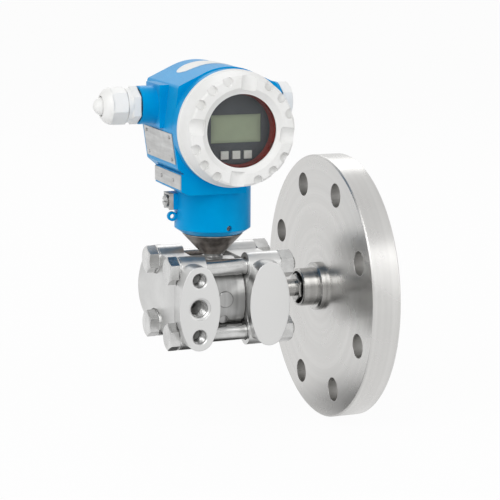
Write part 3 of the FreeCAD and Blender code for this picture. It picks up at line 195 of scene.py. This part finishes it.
blueCoat = {
    "main": colour(0, 158, 220), "shade": colour(0, 151, 214),
    "tint": colour(20, 150, 225),       # of the gloss seen straight on
    "roughness": (0.29, 0.41), "specular": 0.35, "edge": 0.0009,
    "paintedReflectionTone": colour(96, 104, 108),    # painted reflection: the grey that steel shows in place of the blue
    "paintedReflectionShare": 0.75,
}
whiteCoat = {
    "main": colour(238, 238, 237), "shade": colour(232, 232, 230),
    "tint": plainWhite,
    "roughness": (0.35, 0.47), "specular": 0.35, "edge": 0.0006,
}
coatRelief = {
    "specks": 1100, "speckHeight": 0.00004, "strength": 0.3,
    "waves": 55, "waveHeight": 0.0001,      # the unevenness of the casting under the coat
}


def powderCoat(name, look):
    # Two tones drift slowly into each other; fine specks and slow waves lift the surface.
    shader = Shader(name)
    spot = shader.place()
    slow = shader.noise(spot, coatRelief["waves"], detail=3)
    specks = shader.noise(spot, coatRelief["specks"], roughness=0.6)
    speckHeight = coatRelief["speckHeight"]
    height = slow * (coatRelief["waveHeight"] / speckHeight) + specks
    tone = shader.tone(slow, look)
    # Painted reflection: to glossy rays, such as those from satin steel, the blue turns mostly
    # grey.
    if "paintedReflectionTone" in look:
        glossy = shader.node("ShaderNodeLightPath", output="Is Glossy Ray")
        tone = shader.blend(glossy * look["paintedReflectionShare"], tone, look["paintedReflectionTone"])
    return shader.finish(
        colour=tone, roughness=shader.gloss(specks, look["roughness"]),
        specular=look["specular"], tint=look["tint"],
        normal=shader.relief(height, speckHeight, coatRelief["strength"], look["edge"]))


bluePaint = powderCoat("blue powder coat", blueCoat)
whitePaint = powderCoat("white powder coat", whiteCoat)


# Turned steel

lathe = {
    "marks": 2600, "marksInBand": 9,        # fine marks, and how many make one band of tone
    "height": 0.00002, "strength": 0.35,
    "patches": 26, "patchShare": 0.5,       # the rest of the tone comes from the bands
}
flangeTurned = {
    "main": colour(204, 203, 201), "shade": colour(214, 213, 211),
    "roughness": (0.23, 0.33), "edge": 0.0006,
    "drilled": colour(204, 203, 201), "drilledRougher": 0.08,
}
hubTurned = {
    "main": colour(176, 175, 173), "shade": colour(206, 205, 203),
    "roughness": (0.20, 0.30), "edge": 0.0004,
}
# A darker copy of the turned steel: painted shade for the cell's place between the side flanges.
cellTurnedPaintedShade = {
    "main": colour(150, 150, 149), "shade": colour(186, 186, 185),
    "roughness": (0.26, 0.36), "edge": 0.0004,
}
membraneRolled = {
    "main": colour(204, 203, 201), "shade": colour(214, 213, 211),
    "roughness": (0.12, 0.22), "edge": 0.0004,
}
holes = {   # of the process flange; the slack lets their walls count as inside them
    "count": 8, "circle": 0.160, "size": 0.018, "slack": 0.00003,
}


def ringMarks(shader, centre, axis):
    # Marks of a lathe: they change with the distance from the axis and with the place along it.
    parts = shader.split(shader.place(centre))
    across = [parts[k] for k in range(3) if k != axis]
    line = shader.node("ShaderNodeCombineXYZ", None, [shader.distance(*across), parts[axis], 0.0])
    fine = shader.noise(line, lathe["marks"], roughness=0.7)
    bands = shader.noise(line, lathe["marks"] / lathe["marksInBand"])
    return fine, bands


def drilledWalls(shader):
    # 1 on the walls of the flange's bolt holes, where the distance from the nearest hole's axis is
    # the holes' radius. It comes from the law of cosines, with the angle counted from that hole.
    x, y, z = shader.split(shader.place())
    radius = shader.distance(y, z)
    share = 2 * math.pi / holes["count"]
    folded = ((z.math("ARCTAN2", y) * (1 / share)).math("FRACT") - 0.5) * share
    reach = holes["circle"] / 2
    square = radius * radius + reach ** 2 - radius * folded.math("COSINE") * 2 * reach
    return square.math("SQRT") < holes["size"] / 2 + holes["slack"]


def turnedSteel(name, look, centre=(0, 0, 0), axis=0):
    # Fine rings for the bump, bands and slow patches for the tone.
    shader = Shader(name)
    fine, bands = ringMarks(shader, centre, axis)
    patch = shader.noise(shader.place(), lathe["patches"], detail=3)
    mark = bands * (1 - lathe["patchShare"]) + patch * lathe["patchShare"]
    tone = shader.tone(mark, look)
    rough = shader.gloss(patch, look["roughness"])
    if "drilled" in look:
        walls = drilledWalls(shader)
        tone = shader.blend(walls, tone, look["drilled"])
        rough = rough + walls * look["drilledRougher"]
    return shader.finish(
        colour=tone, metallic=1.0, roughness=rough,
        normal=shader.relief(fine, lathe["height"], lathe["strength"], look["edge"]))


flangeSteel = turnedSteel("turned flange steel", flangeTurned)
pipeSteel = turnedSteel("turned hub steel", hubTurned)
cellSteelPaintedShade = turnedSteel("turned cell steel with painted shade", cellTurnedPaintedShade, cell)
membraneSteel = turnedSteel("rolled membrane steel", membraneRolled)


# Cast side flanges

sideCasting = {
    "main": colour(206, 206, 205), "shade": colour(220, 220, 219),
    "roughness": (0.3, 0.42),
    "mottles": 38, "pits": 420, "pitHeight": 0.00005, "strength": 0.3, "edge": 0.0007,
    "milledFrom": 0.0484,       # how far from the middle the milled port faces start
    "milled": colour(221, 221, 220), "milledRoughness": 0.4,
    "cutterMarks": 900, "cutterStretch": (1, 1, 0.06), "cutterShare": 0.25,
}


def castSteel(name, look):
    # A tumbled casting: mottled and pitted, with the port faces milled flat.
    shader = Shader(name)
    spot = shader.place(cell)
    x, y, z = shader.split(spot)
    milled = y.math("ABSOLUTE") > look["milledFrom"]
    pits = shader.noise(spot, look["pits"], detail=3, roughness=0.6)
    skin = shader.tone(shader.noise(spot, look["mottles"], detail=3), look)
    marks = shader.noise(spot, look["cutterMarks"], roughness=0.6, stretch=look["cutterStretch"])
    height = milled * marks * look["cutterShare"] + (1 - milled) * pits
    rough = milled * look["milledRoughness"] + (1 - milled) * shader.gloss(pits, look["roughness"])
    return shader.finish(
        colour=shader.blend(milled, skin, look["milled"]), metallic=1.0, roughness=rough,
        normal=shader.relief(height, look["pitHeight"], look["strength"], look["edge"]))


castFlangeSteel = castSteel("cast side flange steel", sideCasting)


# Plated fasteners and cut threads

plating = {
    "patches": 90, "scratches": 260, "scratchStretch": (0.1, 1, 1),
    "glossBetween": (0.35, 0.65), "height": 0.00001, "strength": 0.3,
}
fastenerPlating = {
    "main": colour(196, 196, 195), "shade": colour(216, 216, 215),
    "roughness": (0.20, 0.29), "edge": 0.0004,
}
screwPlating = {
    "main": colour(150, 150, 149), "shade": colour(196, 196, 195),
    "roughness": (0.26, 0.35), "edge": 0.0002,
}
threadCut = {
    "main": colour(150, 150, 149), "shade": colour(196, 196, 195),
    "roughness": (0.16, 0.25), "edge": 0.0001,
}


def platedSteel(name, look):
    # Slow patches of tone and a few long soft scratches.
    shader = Shader(name)
    spot = shader.place()
    patch = shader.noise(spot, plating["patches"])
    scratch = shader.noise(spot, plating["scratches"], stretch=plating["scratchStretch"])
    return shader.finish(
        colour=shader.tone(patch, look), metallic=1.0,
        roughness=shader.gloss(scratch, look["roughness"], *plating["glossBetween"]),
        normal=shader.relief(scratch, plating["height"], plating["strength"], look["edge"]))


fastenerSteel = platedSteel("plated fastener steel", fastenerPlating)
screwSteel = platedSteel("small screw steel", screwPlating)
threadSteel = platedSteel("cut thread steel", threadCut)


# Neck cone

neckCone = {
    "main": colour(122, 115, 111), "shade": colour(172, 164, 158),
    "roughness": (0.3, 0.42), "edge": 0.0004,
    "streaks": 240, "streakStretch": (1, 1, 0.12), "streakShare": 0.6, "strength": 0.4,
    "toneBetween": (0.38, 0.64),
}


def darkSteel(name, look):
    # Turned round a standing axis: bands of tone round it, streaks down its sides.
    shader = Shader(name)
    fine, bands = ringMarks(shader, cell, 2)
    streak = shader.noise(shader.place(cell), look["streaks"], detail=3, roughness=0.6,
                          stretch=look["streakStretch"])
    mark = bands * (1 - look["streakShare"]) + streak * look["streakShare"]
    return shader.finish(
        colour=shader.tone(mark, look, *look["toneBetween"]), metallic=1.0,
        roughness=shader.gloss(streak, look["roughness"]),
        normal=shader.relief(fine, lathe["height"], look["strength"], look["edge"]))


coneSteel = darkSteel("dark cone steel", neckCone)


# Type and tag plates

barePlate = {
    "main": colour(186, 186, 185), "shade": colour(212, 212, 211),
    "roughness": (0.36, 0.5), "metallic": 0.8,
    "lines": 900, "lineStretch": (1, 0.04, 1), "lineShare": 0.3,
    "bands": 330, "bandStretch": (1, 0.1, 1), "bandShare": 0.4,
    "wear": 120, "wearShare": 0.3,
    "toneBetween": (0.4, 0.62), "height": 0.00002, "strength": 0.4, "edge": 0.0002,
}


def brushedPlate(name, look):
    # Long brush lines along y in two widths, with dull worn patches between them.
    shader = Shader(name)
    spot = shader.place()
    lines = shader.noise(spot, look["lines"], detail=3, roughness=0.7, stretch=look["lineStretch"])
    bands = shader.noise(spot, look["bands"], roughness=0.6, stretch=look["bandStretch"])
    worn = shader.noise(spot, look["wear"], detail=3, roughness=0.6)
    mark = lines * look["lineShare"] + bands * look["bandShare"] + worn * look["wearShare"]
    return shader.finish(
        colour=shader.tone(mark, look, *look["toneBetween"]),
        metallic=look["metallic"], roughness=shader.gloss(lines, look["roughness"]),
        normal=shader.relief(lines, look["height"], look["strength"], look["edge"]))


plateSteel = brushedPlate("brushed plate steel", barePlate)
print("paint and steel made")


# Plastics and rubber

mouldings = {
    "anthracite plastic": {
        "main": colour(75, 77, 82), "shade": colour(68, 70, 75),
        "roughness": (0.45, 0.57), "edge": 0.0004,
        "on": ["display_frame"]},
    "key plastic": {
        "main": colour(232, 232, 226), "shade": colour(222, 222, 216),
        "roughness": (0.40, 0.52), "edge": 0.0003,
        "on": ["key_left", "key_middle", "key_right"]},
    "dark module plastic": {
        "main": colour(38, 40, 42), "shade": colour(32, 34, 36),
        "roughness": (0.50, 0.62), "edge": 0.0004,
        "on": ["electronics_insert", "terminal_block"]},
    "white gland plastic": {
        "main": colour(244, 244, 243), "shade": colour(239, 239, 237),
        "roughness": (0.35, 0.47), "edge": 0.0005,
        "on": ["gland_body", "gland_nut", "gland_plug", "entry_plug"]},
    "white label film": {
        "main": colour(236, 236, 233), "shade": colour(228, 228, 225),
        "roughness": (0.30, 0.42), "edge": 0.0001, "grain": 1400,
        "on": ["top_label"]},
    "red seal rubber": {
        "main": colour(158, 42, 30), "shade": colour(120, 32, 24),
        "roughness": (0.45, 0.57), "edge": 0.0003,
        "on": ["window_seal"]},
    "black rubber": {
        "main": colour(34, 34, 34), "shade": colour(28, 28, 28),
        "roughness": (0.55, 0.67), "edge": 0.0002,
        "on": ["front_cover_seal", "rear_cover_seal", "gland_seal", "gland_insert",
               "entry_plug_seal"]},
    "white seal plastic": {
        "main": colour(226, 226, 222), "shade": colour(218, 218, 214),
        "roughness": (0.40, 0.52), "edge": 0.0002,
        "on": ["low_flange_seal", "high_flange_seal"]},
    "board lacquer": {
        "main": colour(34, 84, 52), "shade": colour(28, 74, 46),
        "roughness": (0.35, 0.47), "edge": 0.0001,
        "on": ["display_board"]},
}
mouldedSkin = {"drift": 60, "grain": 900, "height": 0.00001, "strength": 0.5}


def moulded(name, look):
    # A slow drift between two tones, with a fine grain in the gloss and in the relief.
    shader = Shader(name)
    spot = shader.place()
    slow = shader.noise(spot, mouldedSkin["drift"])
    grain = shader.noise(spot, look.get("grain", mouldedSkin["grain"]), roughness=0.6)
    return shader.finish(
        colour=shader.tone(slow, look), roughness=shader.gloss(grain, look["roughness"]),
        normal=shader.relief(grain, mouldedSkin["height"], mouldedSkin["strength"], look["edge"]))


# Display

display = {
    "main": colour(162, 172, 141), "shade": colour(155, 165, 136),
    "edgeTone": colour(92, 100, 88), "edgeShare": 0.35,
    "edgeFromX": 0.8, "edgeFromZ": 0.72,    # shares of the half width and half height
    "haze": 80, "dots": 1600.0, "dotHeight": 0.000002, "dotStrength": 0.2,
    "roughness": (0.2, 0.3), "glossBetween": (0.0, 0.6), "coat": 0.4, "coatRoughness": 0.08,
}


def liquidCrystal(name, node):
    # A grey-green field that darkens a little towards its frame, with a faint grid of dots.
    shader = Shader(name)
    low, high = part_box(node)
    half = (high - low) / 2
    spot = shader.place(middle(node))
    x, y, z = shader.split(spot)
    edgeX = shader.range(x.math("ABSOLUTE"), half.x * display["edgeFromX"], half.x, 0.0, 1.0)
    edgeZ = shader.range(z.math("ABSOLUTE"), half.z * display["edgeFromZ"], half.z, 0.0, 1.0)
    dots = shader.node("ShaderNodeTexVoronoi", {"distance": "CHEBYCHEV"}, {
        "Vector": spot, "Scale": display["dots"], "Randomness": 0.0})
    field = shader.tone(shader.noise(spot, display["haze"]), display)
    relief = shader.node("ShaderNodeBump", None, {
        "Height": dots, "Distance": display["dotHeight"], "Strength": display["dotStrength"]})
    edge = edgeX.math("MAXIMUM", edgeZ) * display["edgeShare"]
    return shader.finish(
        colour=shader.blend(edge, field, display["edgeTone"]),
        roughness=shader.gloss(dots, display["roughness"], *display["glossBetween"]),
        coat=display["coat"], coatRoughness=display["coatRoughness"], normal=relief)


# Window

window = {
    "ior": 1.45, "mirrorShare": 0.5, "mirror": colour(225, 230, 230), "smears": 40,
    "roughness": (0.02, 0.06), "clear": (0.97, 0.98, 0.98, 1),
}


def clearGlass(name):
    # Nearly clear: light passes, and the angle of view adds a mirror-like part.
    shader = Shader(name)
    fresnel = shader.node("ShaderNodeFresnel", None, {"IOR": window["ior"]})
    smear = shader.noise(shader.place(), window["smears"])
    gloss = shader.node("ShaderNodeBsdfPrincipled", None, {
        "Base Color": window["mirror"], "Metallic": 1.0,
        "Roughness": shader.gloss(smear, window["roughness"])})
    clear = shader.node("ShaderNodeBsdfTransparent", None, {"Color": window["clear"]})
    share = fresnel * window["mirrorShare"]
    mixed = shader.node("ShaderNodeMixShader", None, [share, clear, gloss])
    shader.node("ShaderNodeOutputMaterial", None, {"Surface": mixed})
    return shader.owner


dress(flangeSteel, "process_flange")
dress(membraneSteel, "seal_membrane", "low_isolator", "high_isolator")
dress(pipeSteel, "seal_hub", "seal_nipple")
dress(cellSteelPaintedShade, "cell_body", "cell_fill_plug", "sensor_element")
dress(castFlangeSteel, "low_side_flange", "high_side_flange")
dress(fastenerSteel, "flange_bolts", "bolt_washers", "bolt_nuts", "vent_valve", "vent_screw")
dress(screwSteel, "lock_screw", "earth_clamp", "earth_screw", "plate_rivets", "terminal_screws")
dress(coneSteel, "neck_cone")
dress(plateSteel, "type_plate", "tag_plate")
dress(bluePaint, "housing_shell")
dress(whitePaint, "front_cover", "rear_cover")
dress(liquidCrystal("liquid crystal", "lcd_panel"), "lcd_panel")
dress(clearGlass("window glass"), "window_glass")
for name, look in mouldings.items():
    dress(moulded(name, look), *look["on"])
print("all solids dressed")


# Threads in the side flange

threads = {
    # Lengths in metres; the mouth is the plane of the port faces.
    "port": {"depth": (0.0022, 0.0135), "crest": 0.0112, "root": 0.0127, "pitch": 0.00141},
    "adapter": {"depth": (0.0012, 0.0135), "crest": 0.0088, "root": 0.0101, "pitch": 0.00127},
    "adapterSpacing": 0.0413,
    "wall": 0.0003,         # how far the thread's sleeve sits in the steel round it
    "rowsPerTurn": 8,
    "around": 48,
    "steepness": 1.5,       # of a ridge's sides, and how much of its foot is cut off
    "foot": 0.15,
}


def threadSleeve(mouth, size):
    # The radius at angle a and depth d is the root less a ridge. The ridge is a triangle wave of
    # d / pitch - a / one turn, clipped flat at its top, and it fades in over the first turn. An
    # outer wall, a little wider than the root, closes the sleeve.
    around = threads["around"]
    start, end = size["depth"]
    rows = int((end - start) / size["pitch"] * threads["rowsPerTurn"]) + 1
    angle = np.linspace(0, 2 * np.pi, around, endpoint=False)[None, :]
    depth = np.linspace(start, end, rows)[:, None]
    phase = np.mod(depth / size["pitch"] - angle / (2 * np.pi), 1)
    ridge = np.clip(threads["steepness"] * (1 - np.abs(2 * phase - 1)) - threads["foot"], 0, 1)
    ridge = ridge * np.clip((depth - start) / size["pitch"], 0, 1)
    inner = (size["root"] - (size["root"] - size["crest"]) * ridge) / 2
    outer = np.full((2, around), size["root"] / 2 + threads["wall"])
    radius = np.vstack([inner, outer])
    along = np.vstack([depth, [[end], [start]]]) + 0 * angle
    corners = np.stack([mouth.x + radius * np.cos(angle), mouth.y + along,
                        mouth.z + radius * np.sin(angle)], -1)
    count = len(radius)
    row, column = np.meshgrid(np.arange(count), np.arange(around), indexing="ij")
    nextRow, nextColumn = (row + 1) % count, (column + 1) % around
    faces = np.stack([row * around + column, row * around + nextColumn,
                      nextRow * around + nextColumn, nextRow * around + column], -1)
    return corners.reshape(-1, 3), faces.reshape(-1, 4)


def newPiece(name, parts, body, material):
    # One mesh from several grids, each one's corner numbers raised by the corners before it.
    shift, corners, faces = 0, [], []
    for partCorners, partFaces in parts:
        corners.append(partCorners)
        faces.append(partFaces + shift)
        shift += len(partCorners)
    mesh = bpy.data.meshes.new(name)
    mesh.from_pydata(np.vstack(corners).tolist(), [], np.vstack(faces).tolist())
    mesh.materials.append(material)
    mesh.update()
    piece = bpy.data.objects.new(name, mesh)
    bpy.context.scene.collection.objects.link(piece)
    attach(piece, body)
    return piece


flangeLow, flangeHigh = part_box("low_side_flange")
portMouth = Vector(((flangeLow.x + flangeHigh.x) / 2, flangeLow.y, 0))
lift = Vector((0, 0, threads["adapterSpacing"] / 2))
newPiece("port_thread", [threadSleeve(portMouth, threads["port"])],
         "meter", threadSteel)
newPiece("adapter_threads", [threadSleeve(portMouth + lift, threads["adapter"]),
                             threadSleeve(portMouth - lift, threads["adapter"])],
         "meter", threadSteel)
print("threads made")


# Floor, light and camera

stage = {
    "floor": colour(236, 236, 236),
    "paintedShadeUnderPart": colour(70, 70, 70),    # painted shade: the dark floor that steel shows close under the part
    "near": 0.04, "far": 0.115,         # where that painted shade starts to fade and is gone
    "white": 0.95,                      # how much of the floor's white takes no shadow
    "roomLevel": 0.54,
    "steelRoomLevel": 0.85,
    "halfSize": 9.0,
}


def paleStage():
    # A wide floor, white to the camera but for the part's shadow; close under the part it shows
    # steel a painted shade.
    wide, level = stage["halfSize"], solidBox[0].z
    corners = [(x, y, level) for x, y in
               ((-wide, -wide), (wide, -wide), (wide, wide), (-wide, wide))]
    mesh = bpy.data.meshes.new("floor")
    mesh.from_pydata(corners, [], [(0, 1, 2, 3)])
    floor = bpy.data.objects.new("floor", mesh)
    bpy.context.scene.collection.objects.link(floor)
    shader = Shader("pale floor")
    seen, glossy, passed = shader.several(
        "ShaderNodeLightPath", None, "Is Camera Ray", "Is Glossy Ray", "Is Transmission Ray")
    x, y, z = shader.split(shader.place(cell))
    away = shader.range(shader.distance(x, y), stage["near"], stage["far"], 0.0, 1.0)
    # Painted shade: to glossy rays the floor is dark grey close under the part, and it fades out
    # by the far distance.
    tone = shader.blend(glossy * (1 - away), stage["floor"], stage["paintedShadeUnderPart"])
    matt = shader.node("ShaderNodeBsdfDiffuse", None, {"Color": tone})
    white = shader.node("ShaderNodeEmission", None, {"Color": plainWhite, "Strength": 1.0})
    share = (seen.math("MAXIMUM", passed) + glossy * away).math("MINIMUM", 1.0) * stage["white"]
    mixed = shader.node("ShaderNodeMixShader", None, [share, matt, white])
    shader.node("ShaderNodeOutputMaterial", None, {"Surface": mixed})
    mesh.materials.append(shader.owner)


def softWorld():
    # White to the camera, a pale room to steel and glass, and an even grey light to all else.
    shader = Shader("studio", bpy.data.worlds)
    bpy.context.scene.world = shader.owner
    seen, glossy = shader.several("ShaderNodeLightPath", None, "Is Camera Ray", "Is Glossy Ray")
    level = shader.range(glossy, 0.0, 1.0, stage["roomLevel"], stage["steelRoomLevel"])
    room = shader.node("ShaderNodeBackground", None, {"Color": plainWhite, "Strength": level})
    white = shader.node("ShaderNodeBackground", None, {"Color": plainWhite, "Strength": 1.0})
    mixed = shader.node("ShaderNodeMixShader", None, [seen, room, white])
    shader.node("ShaderNodeOutputWorld", None, {"Surface": mixed})


lamps = {
    "key": {
        "power": 27, "size": (1.8, 1.8),
        "place": (-1.5, -1.3, 1.5), "target": (-0.08, 0, 0.05)},
    "fill": {
        "power": 8, "size": (1.0, 1.4),
        "place": (1.4, -1.5, 0.7), "target": (-0.05, 0, 0.05)},
    "rim": {
        "power": 5, "size": (1.4, 0.8),
        "place": (0.3, 1.5, 1.3), "target": (-0.05, 0, 0.08)},
}


def panel(name, look):
    # A rectangular lamp, turned so that its light goes from its place to its target.
    lamp = bpy.data.lights.new(name, "AREA")
    lamp.shape = "RECTANGLE"
    lamp.size, lamp.size_y = look["size"]
    lamp.energy = look["power"]
    holder = bpy.data.objects.new(name, lamp)
    bpy.context.scene.collection.objects.link(holder)
    aim = Vector(look["target"]) - Vector(look["place"])
    holder.location = look["place"]
    holder.rotation_mode = "QUATERNION"
    holder.rotation_quaternion = aim.to_track_quat("-Z", "Y")


view = {
    "azimuth": 21.207, "elevation": 10.58, "roll": 0.27,    # degrees
    "origin": (0.002, 0, 0), "distance": 1.379257,
    "aside": (0.074092, -0.025694),     # how far the origin lies right of and above the middle
    "sensor": 36, "focal": 1798.45 / 500,       # millimetres, and in widths of the sensor
    "clip": (0.1, 30),
}


def standCamera():
    # Looks along the azimuth, down by the elevation, with the frame turned by the roll.
    a, e, r = (math.radians(view[k]) for k in ("azimuth", "elevation", "roll"))
    look = Vector((math.sin(a) * math.cos(e), math.cos(a) * math.cos(e), -math.sin(e)))
    level = Vector((math.cos(a), -math.sin(a), 0))
    rise = level.cross(look)
    right = level * math.cos(r) + rise * math.sin(r)
    up = rise * math.cos(r) - level * math.sin(r)
    lens = bpy.data.cameras.new("view")
    lens.sensor_width = view["sensor"]
    lens.lens = view["sensor"] * view["focal"]
    lens.clip_start, lens.clip_end = view["clip"]
    holder = bpy.data.objects.new("view", lens)
    bpy.context.scene.collection.objects.link(holder)
    spot = (Vector(view["origin"]) - look * view["distance"]
            - right * view["aside"][0] - up * view["aside"][1])
    turn = Matrix((right, up, -look)).transposed().to_4x4()
    holder.matrix_world = Matrix.Translation(spot) @ turn
    bpy.context.scene.camera = holder


paleStage()
softWorld()
for name, look in lamps.items():
    panel(name, look)
standCamera()
bpy.context.scene.view_settings.view_transform = "Standard"
print("stage, light and camera set")
